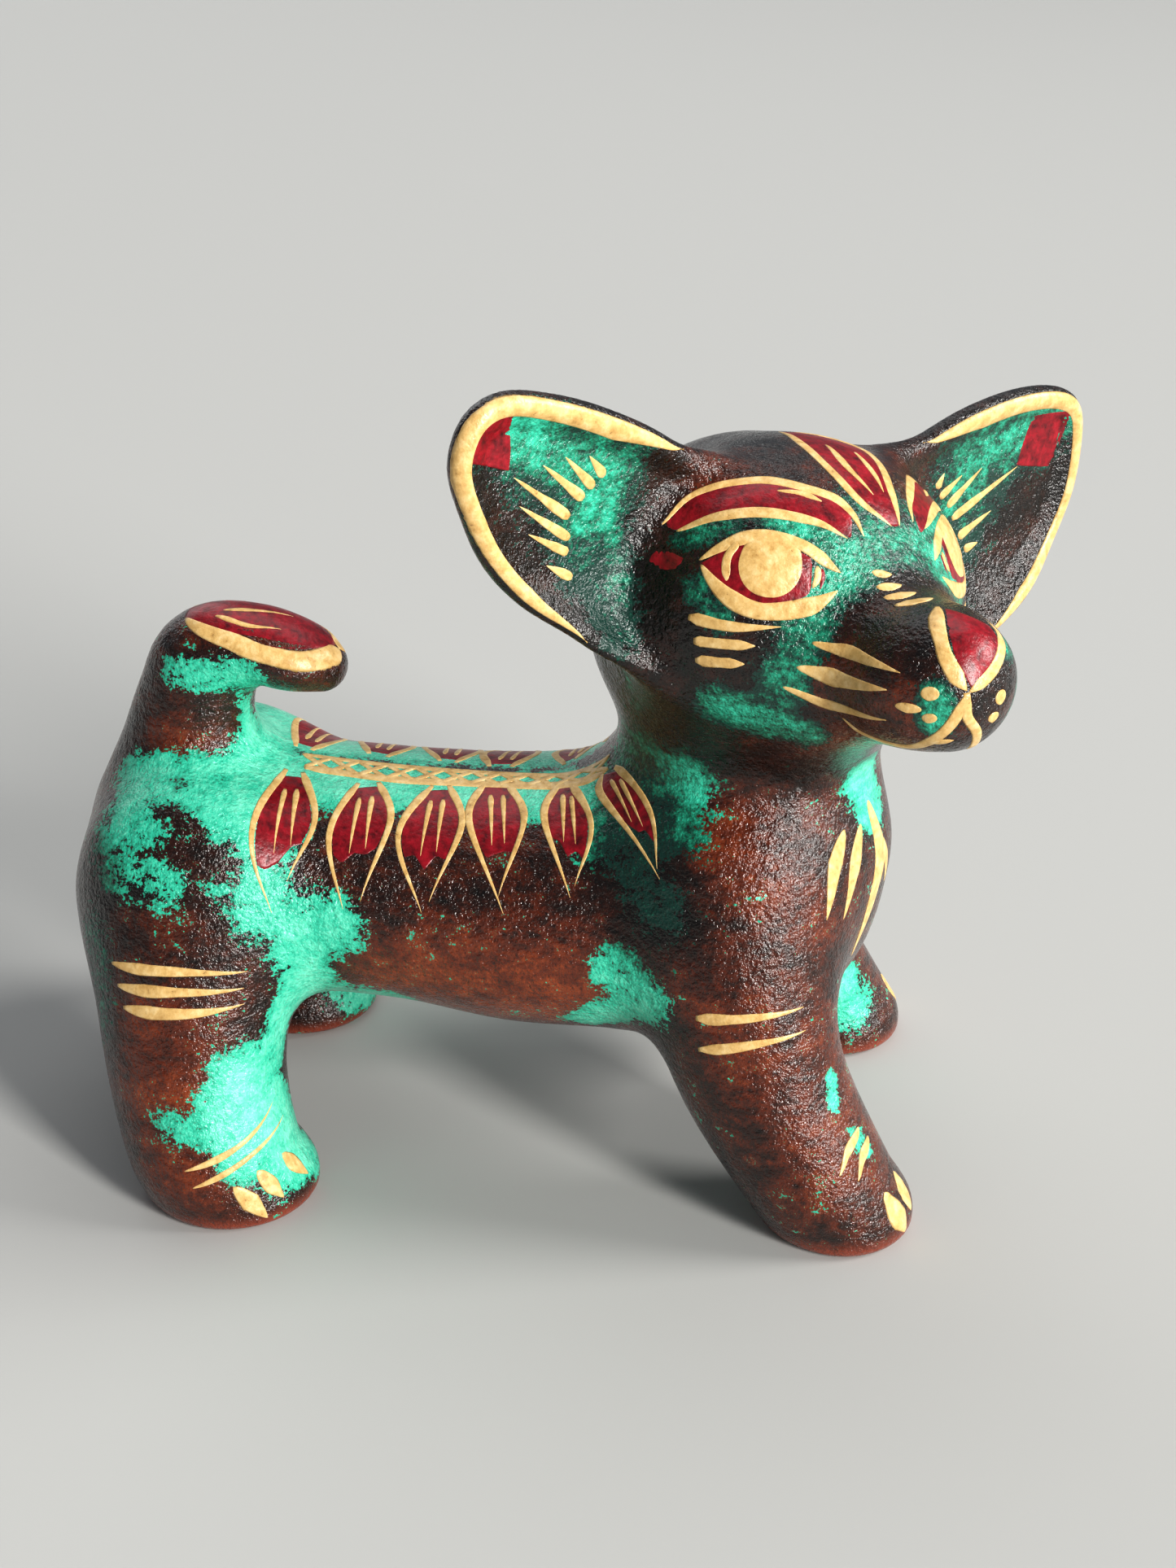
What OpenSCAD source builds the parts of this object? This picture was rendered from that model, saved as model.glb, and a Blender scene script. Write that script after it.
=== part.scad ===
// A standing chihuahua in fired red clay, built as a potter builds it: a hollow body pressed in
// two halves, a hollow head in two halves, and solid legs, ears, muzzle and tail luted on.
// Millimetres. +X is the way the body points, +Z is up, -Y is the dog's right side.
// The origin is on the table, under the middle of the whole figure.

/* [Body] */
// Height of the middle of the barrel above the table
barrel_z = 41; // [39:0.5:43]
// Half width of the barrel at its middle
barrel_half_w = 25; // [23:0.5:27]
// Half height of the barrel at its middle
barrel_half_h = 20.5; // [19:0.5:22]
// Thickness of the pressed clay wall
wall = 5; // [4:0.5:6]
// Diameter of the steam vent under the belly
vent_d = 4; // [3:0.5:5]

/* [Stance] */
// Distance between the front and the hind feet, centre to centre
wheelbase = 96; // [92:1:100]
// Distance between the left and the right feet, centre to centre
track = 55; // [52:1:58]

/* [Head] */
// Height of the middle of the skull above the table
skull_z = 93.5; // [92:0.5:95]
// Radius of the back of the skull
skull_r = 24.5; // [23.5:0.5:25.5]
// Half width of the face across the cheeks
cheek_half_w = 28; // [26:0.5:29]
// Angle that the head turns to the dog's right
head_turn = 50; // [40:1:55]
// Angle that the head leans over to the dog's left
head_lean = 9; // [0:1:12]
// How far the nose is from the middle of the skull
nose_reach = 49; // [46:0.5:51]

/* [Ears] */
// How far the tip of an ear is from the middle of the head
ear_reach = 60; // [57:1:62]
// How much lower the left ear hangs than the right one
ear_droop = 4; // [0:0.5:5]
// Half thickness of an ear at its rim
ear_thick = 4; // [3.5:0.5:5]
// Width of the rim round the ear's dish
ear_rim = 2.5; // [2:0.5:3.5]

/* [Tail] */
// Height of the top of the curled tail
tail_top = 88; // [86:1:90]

/* [Hidden] */
limb_facets = 20;
barrel_facets = 28;
inside_facets = 16;
big = 300;

// Where the lumps' own frame has the middle of the whole figure
middle = [16.7, -0.4, 0];
// Where the lumps' own frame has the middle of the skull
skull_at = [44, -1, skull_z];
// The feet, and the clay coil that is pressed along a seam from inside
front_foot_x = wheelbase / 2 + 12;
hind_foot_x = -wheelbase / 2 + 12;
foot_y = track / 2;
coil_depth = 3;
coil_w = 7;
vent_x = 2;

clay_brown = "#5a2c1d";
clay_dark = "#3d2016";
clay_raw = "#a5482f";
patina = "#2fb98f";

// ---------- plain clay shapes ----------

// One egg-shaped lump: its centre, then its three half sizes
module lump(at, half, facets) {
    translate(at) scale(half) sphere(r = 1, $fn = facets);
}

// Lumps in a row, each blended into the next
module chain(lumps, facets = limb_facets) {
    for (i = [0 : len(lumps) - 2])
        hull() {
            lump(lumps[i][0], lumps[i][1], facets);
            lump(lumps[i + 1][0], lumps[i + 1][1], facets);
        }
}

// The same lumps, each smaller all round
function shrunk(lumps, by) = [for (l = lumps) [l[0], [for (h = l[1]) h - by]]];

module below_table() {
    translate([-big / 2, -big / 2, -big]) cube(big);
}

// Everything on one side of the body's middle plane: side 1 is left, -1 is right
module half_space(side) {
    translate([-big / 2, side > 0 ? 0 : -big, -big / 2]) cube(big);
}

// Moves its children from the lumps' frame to the figure's own origin
module placed() {
    translate(-middle) children();
}

// Places its children in the head's own frame, where +X is the way the face looks
module in_head() {
    translate(skull_at) rotate([-head_lean, 0, -head_turn]) children();
}

// ---------- body ----------

barrel_lumps = [
    [[-45, 0, barrel_z + 1], [18, barrel_half_w - 1, barrel_half_h + 1]],
    [[-38, 0, barrel_z + 3], [18, barrel_half_w, barrel_half_h]],
    [[-25, 0, barrel_z + 3], [18, barrel_half_w - 1, barrel_half_h - 1.5]],
    [[-8, 0, barrel_z + 2], [18, barrel_half_w - 1, barrel_half_h - 1.5]],
    [[8, 0, barrel_z + 0.5], [18, barrel_half_w, barrel_half_h]],
    [[22, 0, barrel_z + 1], [18, barrel_half_w + 0.5, barrel_half_h + 1]],
    [[34, 0, barrel_z + 2], [20, barrel_half_w + 1, barrel_half_h + 3]],
    [[42, 0, barrel_z + 4], [22, barrel_half_w, barrel_half_h + 3]],
    [[44, 0, barrel_z + 7], [21, barrel_half_w - 2, barrel_half_h + 1]]
];

module barrel() {
    chain(barrel_lumps, barrel_facets);
}

// The hollow of the barrel, as deep under the skin as it is told
module barrel_hollow(depth) {
    chain(shrunk(barrel_lumps, depth), inside_facets);
}

// The hole in the belly that lets the steam out of the closed body in the kiln
module vent() {
    translate([vent_x, 0, 0]) cylinder(d = vent_d, h = barrel_z, $fn = 24);
}

module body_half(side) {
    placed() intersection() {
        difference() {
            barrel();
            barrel_hollow(wall);
            vent();
        }
        half_space(side);
    }
}

module body_half_left() {
    color(clay_brown) body_half(1);
}

module body_half_right() {
    color(clay_dark) body_half(-1);
}

// The coil of clay pressed along the inside of the seam between the body's halves
module body_seam_coil() {
    color(clay_raw) placed() intersection() {
        difference() {
            barrel_hollow(wall);
            barrel_hollow(wall + coil_depth);
            vent();
        }
        cube([big, coil_w, big], center = true);
    }
}

// ---------- neck ----------

module neck() {
    color(clay_brown) placed() difference() {
        chain([
            [[42, 0, 56], [21, 20, 12]],
            [[43, 0, 66], [20, 18, 10]],
            [[44, -1, 76], [20, 18, 10]],
            [[44, -1, 84], [21, 19, 10]]
        ]);
        barrel();
        in_head() skull();
    }
}

// ---------- head ----------

skull_lumps = [
    [[-2, 0, -0.5], [skull_r, skull_r, skull_r - 0.5]],
    [[6, 0, 2], [skull_r - 2, cheek_half_w, skull_r - 1.5]],
    [[12, 0, 1], [skull_r - 5.5, cheek_half_w - 4.5, skull_r - 4]]
];

module skull() {
    chain(skull_lumps);
}

// The hollow of the skull, as deep under the skin as it is told
module skull_hollow(depth) {
    chain(shrunk(skull_lumps, depth), inside_facets);
}

// The hollow skull behind or in front of the ears: end -1 is the back, 1 is the face
module skull_half(end) {
    placed() in_head() intersection() {
        difference() {
            skull();
            skull_hollow(wall);
        }
        translate([end > 0 ? 0 : -big, -big / 2, -big / 2]) cube(big);
    }
}

module skull_back() {
    color(clay_dark) skull_half(-1);
}

module face() {
    color(clay_brown) skull_half(1);
}

// The coil of clay pressed along the inside of the seam between the head's halves
module head_seam_coil() {
    color(clay_raw) placed() in_head() intersection() {
        difference() {
            skull_hollow(wall);
            skull_hollow(wall + coil_depth);
        }
        cube([coil_w, big, big], center = true);
    }
}

module muzzle() {
    color(patina) placed() in_head() difference() {
        chain([
            [[14, 0, -5], [15, 15, 12]],
            [[nose_reach - 22, 0, -2], [12, 12, 10.5]],
            [[nose_reach - 13, 0, 0], [10.5, 12, 10.5]],
            [[nose_reach - 8, 0, 0.5], [8, 9.5, 9.5]]
        ]);
        skull();
    }
}

// ---------- ears ----------

// How far the middle of an ear is lowered; side 1 is the left ear
function droop(side) = side > 0 ? ear_droop : 0;

// An ear's lumps from its root to its tip
function ear_lumps(side) = [
    [[4, side * 20, 8], [ear_thick, 8, 15]],
    [[4, side * 34, 13 - droop(side)], [ear_thick, 8, 16.5 + droop(side)]],
    [[4, side * (ear_reach - 15), 17 - droop(side)], [ear_thick, 8, 15.5 + droop(side)]],
    [[4, side * (ear_reach - 9), 20.5 - droop(side)], [ear_thick, 8, 12 + droop(side)]],
    [[4, side * (ear_reach - 8), 23 - droop(side)], [ear_thick, 8, 8 + droop(side)]]
];

// The same row moved forward and drawn in by the rim, which presses the dish into the ear
function dish_lumps(side) = [
    for (l = ear_lumps(side)) [
        l[0] + [ear_thick + 1, 0, 0],
        l[1] + [1.5, -ear_rim, -ear_rim]
    ]
];

module ear(side) {
    color(patina) placed() in_head() difference() {
        chain(ear_lumps(side));
        chain(dish_lumps(side));
        skull();
    }
}

module ear_left() {
    ear(1);
}

module ear_right() {
    ear(-1);
}

// ---------- tail ----------

module tail() {
    color(clay_brown) placed() difference() {
        chain([
            [[-45, 0, 56], [13, 12, 12]],
            [[-45, 0, 64], [11, 10, 8]],
            [[-43, 0, 74], [9, 8.5, 8]],
            [[-40, 0, tail_top - 8], [8.5, 8, 8]],
            [[-33, 0, tail_top - 6], [6, 8, 6]],
            [[-27, 0, tail_top - 7.5], [6, 8, 5]],
            [[-23, 0, tail_top - 9], [4, 5, 4]]
        ]);
        barrel();
    }
}

// ---------- legs ----------

// One leg: the row of lumps from the body down to the foot, cut flat where it stands
module leg(lumps, tint) {
    color(tint) placed() difference() {
        chain(lumps);
        barrel();
        below_table();
    }
}

function front_lumps(side) = [
    [[42, side * 16, 48], [15, 12, 16]],
    [[42.5, side * 20, 40], [15, 12, 14]],
    [[47, side * 24, 24], [13, 12, 12]],
    [[55.5, side * foot_y, 9], [12, 11.5, 9]],
    [[front_foot_x, side * foot_y, 2], [11.5, 11.5, 9]]
];

function hind_lumps(side) = [
    [[-42, side * 15, 46], [17, 12, 18]],
    [[-42, side * 20, 34], [15.5, 13, 14]],
    [[-41.5, side * 24, 20], [14, 13, 12]],
    [[-39, side * foot_y, 8], [13.5, 13, 9]],
    [[hind_foot_x, side * foot_y, 2], [13.5, 13, 9]]
];

module front_leg_left() {
    leg(front_lumps(1), clay_brown);
}

module front_leg_right() {
    leg(front_lumps(-1), clay_brown);
}

module hind_leg_left() {
    leg(hind_lumps(1), clay_dark);
}

module hind_leg_right() {
    leg(hind_lumps(-1), clay_dark);
}

body_half_left();
body_half_right();
body_seam_coil();
neck();
skull_back();
face();
head_seam_coil();
muzzle();
ear_left();
ear_right();
tail();
front_leg_left();
front_leg_right();
hind_leg_left();
hind_leg_right();
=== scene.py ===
"""A painted clay chihuahua: its looks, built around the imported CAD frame.

Places are in millimetres in the same frame as the clay lumps of the design, whose origin is under
the barrel; to_row() moves them to the row frame in metres.
"""
import math

import bmesh
import bpy
import numpy as np
import openvdb
from mathutils import Matrix, Vector
from mathutils.bvhtree import BVHTree
from numpy.linalg import norm


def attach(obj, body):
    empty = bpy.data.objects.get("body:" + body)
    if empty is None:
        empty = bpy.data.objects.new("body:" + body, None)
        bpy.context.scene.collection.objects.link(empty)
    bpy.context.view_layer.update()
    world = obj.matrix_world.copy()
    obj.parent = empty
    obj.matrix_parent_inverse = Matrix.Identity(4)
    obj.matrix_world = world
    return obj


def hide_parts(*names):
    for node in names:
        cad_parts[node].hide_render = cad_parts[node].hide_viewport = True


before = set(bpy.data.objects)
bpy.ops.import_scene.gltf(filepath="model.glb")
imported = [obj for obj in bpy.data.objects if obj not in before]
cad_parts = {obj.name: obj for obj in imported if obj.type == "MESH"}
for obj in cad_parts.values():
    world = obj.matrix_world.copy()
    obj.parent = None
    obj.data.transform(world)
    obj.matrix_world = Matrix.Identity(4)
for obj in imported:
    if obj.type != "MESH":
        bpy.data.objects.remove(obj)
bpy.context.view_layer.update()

MM = 0.001
# Where the row frame has its origin, in the lumps' frame
MIDDLE = np.array([16.7, -0.4, 0.0])
VOXEL = 0.8
# The clay is looked at on a grid this much coarser first, to find where its skin runs
STRIDE = 3


def to_row(points):
    """Millimetres in the lumps' frame to metres in the row frame."""
    return (np.asarray(points, float) - MIDDLE) * MM


# ---------------- camera, light and floor

# Millimetres, in the lumps' frame, and degrees
CAMERA_LENS = 50.8
CAMERA_PITCH = 27.0
CAMERA_YAW = 4.8
CAMERA_HEIGHT = 218.0
CAMERA_BACK = 310.0
CAMERA_AIM_X = 18.3
# In metres, in the row frame
FIGURE_MIDDLE = Vector((0, 0, 0.06))


def add_object(name, data):
    thing = bpy.data.objects.new(name, data)
    bpy.context.scene.collection.objects.link(thing)
    return thing


def make_camera():
    data = bpy.data.cameras.new("camera")
    data.lens = CAMERA_LENS
    data.sensor_width = 36
    data.clip_start = 0.01
    yaw = math.radians(CAMERA_YAW)
    forward = np.array([-math.sin(yaw), math.cos(yaw), 0])
    place = np.array([CAMERA_AIM_X, 0, CAMERA_HEIGHT]) - CAMERA_BACK * forward
    camera = add_object("camera", data)
    camera.location = to_row(place)
    camera.rotation_euler = (math.radians(90 - CAMERA_PITCH), 0, yaw)
    bpy.context.scene.camera = camera


def make_light(name, place, size, power, tint=(1, 1, 1)):
    """A lit rectangle that faces the middle of the figure, in metres and watts."""
    data = bpy.data.lights.new(name, "AREA")
    data.shape = "RECTANGLE"
    data.size, data.size_y = size
    data.energy = power
    data.color = tint
    light = add_object(name, data)
    light.location = place
    light.rotation_euler = (FIGURE_MIDDLE - light.location).to_track_quat("-Z", "Y").to_euler()


def make_sun(name, toward_it, spread, strength, tint):
    """Light from one direction; the spread, in degrees, softens its shadows."""
    data = bpy.data.lights.new(name, "SUN")
    data.angle = math.radians(spread)
    data.energy = strength
    data.color = tint
    sun = add_object(name, data)
    sun.rotation_euler = Vector(toward_it).to_track_quat("Z", "Y").to_euler()


def make_stage():
    """The daylight of the window on the right, a dim room round it, and a pale floor."""
    scene = bpy.context.scene
    scene.view_settings.view_transform = "Standard"
    scene.view_settings.look = "Medium High Contrast"
    scene.world = bpy.data.worlds.new("studio")
    scene.world.use_nodes = True
    room = scene.world.node_tree.nodes["Background"].inputs
    room["Color"].default_value = (0.86, 0.92, 1.0, 1)
    room["Strength"].default_value = 0.2
    make_sun("daylight", (0.88, 0.12, 0.52), 24, 2.0, (1.0, 0.985, 0.96))
    make_light("window", (2.56, -2.30, 1.36), (0.62, 2.20), 175, (1.0, 0.98, 0.95))
    make_light("ceiling", (0.0, 1.1, 2.0), (2.0, 1.5), 11)
    make_light("far_wall", (-1.4, 1.9, 1.1), (1.8, 1.5), 8)
    bpy.ops.mesh.primitive_plane_add(size=60)
    floor = bpy.context.object
    floor.name = "floor"
    floor.data.materials.append(make_pale_floor())


# ---------------- the clay, as distances

# Egg-shaped lumps, as (x, y, z, half length, half width, half height)
BARREL = [
    (-45, 0, 42, 18, 24, 21.5), (-38, 0, 44, 18, 25, 20.5), (-25, 0, 44, 18, 24, 19),
    (-8, 0, 43, 18, 24, 19), (8, 0, 41.5, 18, 25, 20.5), (22, 0, 42, 18, 25.5, 21.5),
    (34, 0, 43, 20, 26, 23.5), (42, 0, 45, 22, 25, 23.5), (44, 0, 48, 21, 23, 21.5),
]
NECK = [
    (42, 0, 56, 21, 20, 12), (43, 0, 66, 20, 18, 10), (44, -1, 76, 20, 18, 10),
    (44, -1, 84, 21, 19, 10),
]
TAIL = [
    (-45, 0, 56, 13, 12, 12), (-45, 0, 64, 11, 10, 8), (-43, 0, 74, 9, 8.5, 8),
    (-40, 0, 80, 8.5, 8, 8), (-33, 0, 82, 6, 8, 6), (-27, 0, 80.5, 6, 8, 5), (-23, 0, 79, 4, 5, 4),
]
FRONT_LEG = [
    (42, 16, 48, 15, 12, 16), (42.5, 20, 40, 15, 12, 14), (47, 24, 24, 13, 12, 12),
    (55.5, 27.5, 9, 12, 11.5, 9), (60, 27.5, 2, 11.5, 11.5, 9),
]
HIND_LEG = [
    (-42, 15, 46, 17, 12, 18), (-42, 20, 34, 15.5, 13, 14), (-41.5, 24, 20, 14, 13, 12),
    (-39, 27.5, 8, 13.5, 13, 9), (-36, 27.5, 2, 13.5, 13, 9),
]
# The head's own frame: +X is the way the face looks, +Y the dog's left
SKULL = [
    (-2, 0, -0.5, 24.5, 24.5, 24), (6, 0, 2, 22.5, 28, 23), (12, 0, 1, 19, 23.5, 20.5),
]
MUZZLE = [
    (14, 0, -5, 15, 15, 12), (27, 0, -2, 12, 12, 10.5), (36, 0, 0, 10.5, 12, 10.5),
    (41, 0, 0.5, 8, 9.5, 9.5),
]
# The edge of each hand-made ear, as (out from the middle, up): 1 is the left ear
EAR_OUTLINE = {
    1: [
        (14, 19), (25, 25), (34, 29), (44, 31.5), (52.5, 31.5), (57.5, 28.5), (59.5, 21.5),
        (59.5, 13.5), (57, 6), (52.5, 0), (45, -5), (36, -9), (24, -10), (12, -5),
    ],
    -1: [
        (14, 19), (24, 25.5), (34, 29.5), (44, 32), (53, 32.5), (58.5, 29), (60, 22),
        (56.5, 14), (52.5, 8), (47, 3), (40, -1), (33, -5), (22, -9), (12, -5),
    ],
}
HEAD_AT = np.array([44.0, -1.0, 93.5])
HEAD_TURN = 50.0
HEAD_LEAN = 9.0


def turned(degrees, axis):
    return Matrix.Rotation(math.radians(degrees), 3, axis)


# Columns are the head's own X, Y and Z in the lumps' frame
HEAD_AXES = np.array(turned(-HEAD_TURN, "Z") @ turned(-HEAD_LEAN, "X"))


def into_head(points):
    return (points - HEAD_AT) @ HEAD_AXES


def out_of_head(points):
    return np.asarray(points, float) @ HEAD_AXES.T + HEAD_AT


def mirrored(lumps):
    return [(x, -y, *others) for x, y, *others in lumps]


def smooth_min(a, b, width):
    mix = np.clip(0.5 + 0.5 * (b - a) / width, 0, 1)
    return b + (a - b) * mix - width * mix * (1 - mix)


def smooth_max(a, b, width):
    return -smooth_min(-a, -b, width)


def spline(stops, steps):
    """A smooth row of values through the given rows of numbers."""
    stops = np.array(stops, float)
    padded = np.vstack([2 * stops[0] - stops[1], stops, 2 * stops[-1] - stops[-2]])
    t = (np.arange(steps) / steps)[:, None]
    runs = []
    for p0, p1, p2, p3 in zip(padded, padded[1:], padded[2:], padded[3:]):
        runs.append(0.5 * (2 * p1 + (p2 - p0) * t + (2 * p0 - 5 * p1 + 4 * p2 - p3) * t ** 2
                           + (3 * p1 - p0 - 3 * p2 + p3) * t ** 3))
    return np.vstack(runs + [stops[-1:]])


def lump_row(lumps, steps=5):
    """Middles and half sizes of a close row of lumps that swells smoothly through those given."""
    row = spline(lumps, steps)
    return row[:, :3], np.maximum(row[:, 3:], 1)


# Lumps are worked out only this far from them; beyond, they count as FAR away
REACH = 11.0
FAR = 20.0


def lump_chain(points, row):
    """Distance to a row of egg-shaped lumps: the smooth envelope of them all."""
    middles, halves = row
    low = (middles - halves).min(0) - REACH
    high = (middles + halves).max(0) + REACH
    close = np.all((points > low) & (points < high), axis=1)
    away = np.full(len(points), FAR)
    p = points[close]
    if not len(p):
        return away
    weight = 1 / halves ** 2
    gap = (p ** 2) @ weight.T - 2 * p @ (middles * weight).T + (middles ** 2 * weight).sum(1)
    last = len(middles) - 1
    best = gap.argmin(1)
    row_index = np.arange(len(p))
    before = gap[row_index, np.maximum(best - 1, 0)]
    after = gap[row_index, np.minimum(best + 1, last)]
    bend = before - 2 * gap[row_index, best] + after
    shift = np.clip((before - after) / np.maximum(2 * bend, 1e-9), -0.5, 0.5)
    shift[(best == 0) | (best == last)] = 0
    other = np.clip(best + np.sign(shift).astype(int), 0, last)
    share = np.abs(shift)[:, None]
    offset = p - (middles[best] * (1 - share) + middles[other] * share)
    half = halves[best] * (1 - share) + halves[other] * share
    k0 = norm(offset / half, axis=1)
    k1 = norm(offset / half ** 2, axis=1) + 1e-9
    away[close] = k0 * (k0 - 1) / k1
    return away


def closed_curve(corners, steps=6):
    """A smooth closed line through the corners."""
    ring = [corners[-1]] + list(corners) + list(corners[:2])
    return spline(ring, steps)[steps:-steps - 1]


def inside_outline(points, outline):
    """Signed distance in the plane to a closed line; negative inside."""
    best = np.full(len(points), 1e9)
    inside = np.zeros(len(points), bool)
    for a, b in zip(outline, np.roll(outline, -1, 0)):
        along = b - a
        t = np.clip((points - a) @ along / (along @ along), 0, 1)[:, None]
        best = np.minimum(best, norm(points - a - along * t, axis=1))
        crosses = (a[1] > points[:, 1]) != (b[1] > points[:, 1])
        rise = along[1] if abs(along[1]) > 1e-9 else 1e-9
        inside ^= crosses & (points[:, 0] < a[0] + along[0] * (points[:, 1] - a[1]) / rise)
    return np.where(inside, -best, best)


EAR_CURVE = {side: closed_curve(EAR_OUTLINE[side]) for side in (1, -1)}


def ease(value, start, end):
    """0 before start, 1 after end, and smooth between."""
    t = np.clip((value - start) / (end - start), 0, 1)
    return t * t * (3 - 2 * t)


def ear(points, side):
    """Distance to one cupped ear with its rolled rim, for points in the head's frame."""
    across = points[:, 1] * side
    # Only points in a box round the ear are worked out
    close = (np.abs(points[:, 0] - 4) < 22) & (across > 2)
    close &= (across < 75) & (np.abs(points[:, 2] - 13) < 36)
    away = np.full(len(points), FAR)
    near = points[close]
    flat = np.stack([across[close], near[:, 2]], 1)
    edge = inside_outline(flat, EAR_CURVE[side])
    fold = 1 - ease(flat[:, 1], -8, 14)
    sheet = 3.2 + 5.5 * fold * fold
    rim = 1.5 * (1 - ease(-edge, 1.6, 6.0))
    front = near[:, 0] - (sheet + 0.8 + rim)
    back = (sheet - 2.1 - 1.5 * ease(-edge, 0, 10)) - near[:, 0]
    away[close] = smooth_max(smooth_max(edge, front, 3.0), back, 3.5)
    return away


BODY_ROW = lump_row(BARREL)
NECK_ROW = lump_row(NECK)
TAIL_ROW = lump_row(TAIL)
SKULL_ROW = lump_row(SKULL)
MUZZLE_ROW = lump_row(MUZZLE)
LEG_ROWS = [(lump_row(lumps), width) for leg, width in ((FRONT_LEG, 7), (HIND_LEG, 8))
            for lumps in (leg, mirrored(leg))]


def clay(points):
    """Signed distance to the skin of the whole figure; each join ends with its fillet's width."""
    body = lump_chain(points, BODY_ROW)
    body = smooth_min(body, lump_chain(points, TAIL_ROW), 8)
    for row, width in LEG_ROWS:
        body = smooth_min(body, lump_chain(points, row), width)
    body = smooth_min(body, lump_chain(points, NECK_ROW), 10)
    local = into_head(points)
    head = lump_chain(local, SKULL_ROW)
    head = smooth_min(head, lump_chain(local, MUZZLE_ROW), 6)
    for side in (-1, 1):
        head = smooth_min(head, ear(local, side), 6)
    body = smooth_min(body, head, 8)
    return smooth_max(body, -points[:, 2], 1.5)


def clay_normals(points):
    step = 0.05
    here = clay(points)
    slope = np.stack([clay(points + np.eye(3)[k] * step) - here for k in range(3)], 1)
    return here, slope / (norm(slope, axis=1)[:, None] + 1e-12)


def skin_surface():
    """Quads of the whole skin, in the lumps' frame, pulled onto the true surface."""
    # A box that holds the whole figure
    low = np.array([-66, -45, -3.0])
    high = np.array([100, 45, 140.0])
    counts = np.ceil((high - low) / VOXEL / STRIDE).astype(int) * STRIDE
    axes = [low[k] + VOXEL * np.arange(counts[k]) for k in range(3)]
    coarse = np.meshgrid(*[axis[1::STRIDE] for axis in axes], indexing="ij")
    rough = clay(np.stack([c.ravel() for c in coarse], 1)).reshape(coarse[0].shape)
    values = rough.astype(np.float32)
    for k in range(3):
        values = np.repeat(values, STRIDE, axis=k)
    values = values[tuple(slice(0, n) for n in counts)]
    near = np.argwhere(np.abs(values) < STRIDE * VOXEL * 1.8)
    values[tuple(near.T)] = clay(low + near * VOXEL)
    grid = openvdb.FloatGrid()
    grid.copyFromArray(np.clip(values, -3 * VOXEL, 3 * VOXEL))
    points, quads = grid.convertToQuads(0.0)
    points = points.astype(float) * VOXEL + low
    for _ in range(2):
        away, normals = clay_normals(points)
        points -= normals * np.clip(away, -VOXEL / 2, VOXEL / 2)[:, None]
    return points, quads


# ---------------- one skin, cut into its pieces

# The small round hole under the belly
VENT_X = 2.0
VENT_R = 2.0
VENT_TOP = 35
# Above this height lie the tail, the neck and the head; below it, the legs
LEG_TOP = 52
# How far from the middle of the head the ears begin
EAR_ROOT = 14
# How far the body and the skull reach past their own lumps, out onto the fillets
BODY_REACH = 0.8
SKULL_REACH = 0.7
CLAY_WALL = 4.5
# Any positive value keeps a point clear of a cut; a point this close to a cut lies on it
OUTSIDE = 9
CLOSE = 0.01
# A patch with fewer triangles than this isn't a piece of its own
CRUMB = 400


def sides_of(triangles):
    return np.vstack([triangles[:, [0, 1]], triangles[:, [1, 2]], triangles[:, [2, 0]]])


def cut_along(points, triangles, values):
    """Splits the triangles where the values change sign, so that each lies on one side."""
    values = np.where(np.abs(values) < 0.05 * VOXEL, 0.0, values)
    sign = np.sign(values)
    corner = sign[triangles]
    mixed = (corner.min(1) < 0) & (corner.max(1) > 0)
    kept = triangles[~mixed]
    split = triangles[mixed]
    edges = sides_of(split)
    edges = edges[sign[edges[:, 0]] * sign[edges[:, 1]] < 0]
    edges = np.unique(np.sort(edges, 1), axis=0)
    a, b = edges[:, 0], edges[:, 1]
    share = (values[a] / (values[a] - values[b]))[:, None]
    made = points[a] * (1 - share) + points[b] * share
    number = {tuple(edge): len(points) + k for k, edge in enumerate(edges.tolist())}
    fresh = []
    for triangle in split.tolist():
        ring = []
        for k in range(3):
            here, then = triangle[k], triangle[(k + 1) % 3]
            ring.append(here)
            if sign[here] * sign[then] < 0:
                ring.append(number[(min(here, then), max(here, then))])
        new = [k for k, corner in enumerate(ring) if corner >= len(points) or sign[corner] == 0]
        first, second = new[0], new[1]
        for loop in (ring[first:second + 1], ring[second:] + ring[:first + 1]):
            for k in range(1, len(loop) - 1):
                fresh.append([loop[0], loop[k], loop[k + 1]])
    return np.vstack([points, made]), np.vstack([kept, np.array(fresh, int).reshape(-1, 3)])


def skin_fields(points):
    """Distances to the plain lumps, which say whose skin a point is."""
    local = into_head(points)
    ears = np.minimum(ear(local, 1), ear(local, -1))
    from_vent = np.hypot(points[:, 0] - VENT_X, points[:, 1]) - VENT_R
    return {
        "barrel": lump_chain(points, BODY_ROW) - BODY_REACH,
        "skull": lump_chain(local, SKULL_ROW) - SKULL_REACH,
        "neck": lump_chain(points, NECK_ROW) - np.minimum(ears, lump_chain(local, MUZZLE_ROW)),
        "side": points[:, 1],
        "front": local[:, 0],
        "vent": np.where(points[:, 2] < VENT_TOP, from_vent, OUTSIDE),
    }


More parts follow.
